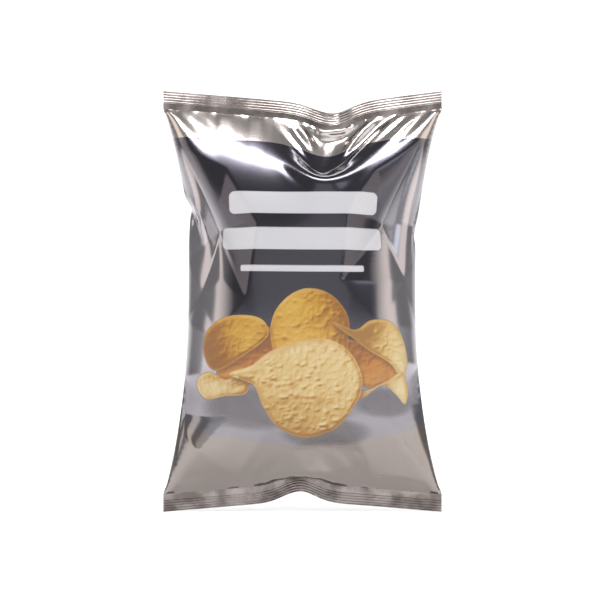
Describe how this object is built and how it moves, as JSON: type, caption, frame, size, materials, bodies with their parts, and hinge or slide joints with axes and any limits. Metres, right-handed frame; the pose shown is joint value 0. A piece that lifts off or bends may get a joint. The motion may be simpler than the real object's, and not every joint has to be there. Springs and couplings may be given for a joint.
{
  "type": "pillow bag of potato crisps",
  "caption": "Sealed pillow bag of metallised film with crimped end seals and a folded back fin, holding loose potato crisps.",
  "frame": {"origin": "under the middle of the bag, level with the two bottom corners of its end seal", "axes": "+Z from the bottom seal to the top seal, +X to the right as the printed front is seen, and the printed front faces -Y"},
  "size_m": [0.19, 0.072, 0.287],
  "materials": {
    "printed_film": "satin",
    "plain_film": "satin",
    "crisp": "matte"
  },
  "bodies": {
    "pouch": {"film_back_left": "printed_film", "film_back_right": "printed_film", "film_front": "printed_film", "fin_inner_ply": "plain_film", "fin_outer_ply": "plain_film"},
    "top_seal": {"top_seal_back": "plain_film", "top_seal_front": "plain_film"},
    "bottom_seal": {"bottom_seal_back": "plain_film", "bottom_seal_front": "plain_film"},
    "crisps": {"crisp_left_01": "crisp", "crisp_left_02": "crisp", "crisp_left_03": "crisp", "crisp_left_04": "crisp", "crisp_left_05": "crisp", "crisp_left_06": "crisp", "crisp_left_07": "crisp", "crisp_left_08": "crisp", "crisp_left_09": "crisp", "crisp_left_10": "crisp", "crisp_left_11": "crisp", "crisp_left_12": "crisp", "crisp_left_13": "crisp", "crisp_left_14": "crisp", "crisp_middle_01": "crisp", "crisp_middle_02": "crisp", "crisp_middle_03": "crisp", "crisp_middle_04": "crisp", "crisp_middle_05": "crisp", "crisp_middle_06": "crisp", "crisp_middle_07": "crisp", "crisp_middle_08": "crisp", "crisp_middle_09": "crisp", "crisp_middle_10": "crisp", "crisp_middle_11": "crisp", "crisp_middle_12": "crisp", "crisp_middle_13": "crisp", "crisp_middle_14": "crisp", "crisp_right_01": "crisp", "crisp_right_02": "crisp", "crisp_right_03": "crisp", "crisp_right_04": "crisp", "crisp_right_05": "crisp", "crisp_right_06": "crisp", "crisp_right_07": "crisp", "crisp_right_08": "crisp", "crisp_right_09": "crisp", "crisp_right_10": "crisp", "crisp_right_11": "crisp", "crisp_right_12": "crisp", "crisp_right_13": "crisp", "crisp_right_14": "crisp"}
  },
  "joints": [
    {"name": "top_seal_bend", "type": "hinge", "parent": "pouch", "child": "top_seal", "pos_m": [0, 0, 0.275], "axis": [1, 0, 0], "range_deg": [-30, 30], "stiffness_Nm_per_rad": 0.01},
    {"name": "bottom_seal_bend", "type": "hinge", "parent": "pouch", "child": "bottom_seal", "pos_m": [0, 0, 0.012], "axis": [1, 0, 0], "range_deg": [-30, 30], "stiffness_Nm_per_rad": 0.01},
    {"name": "crisps_slide", "type": "slide", "parent": "pouch", "child": "crisps", "axis": [0, 0, 1], "range_m": [0, 0.032]}
  ]
}
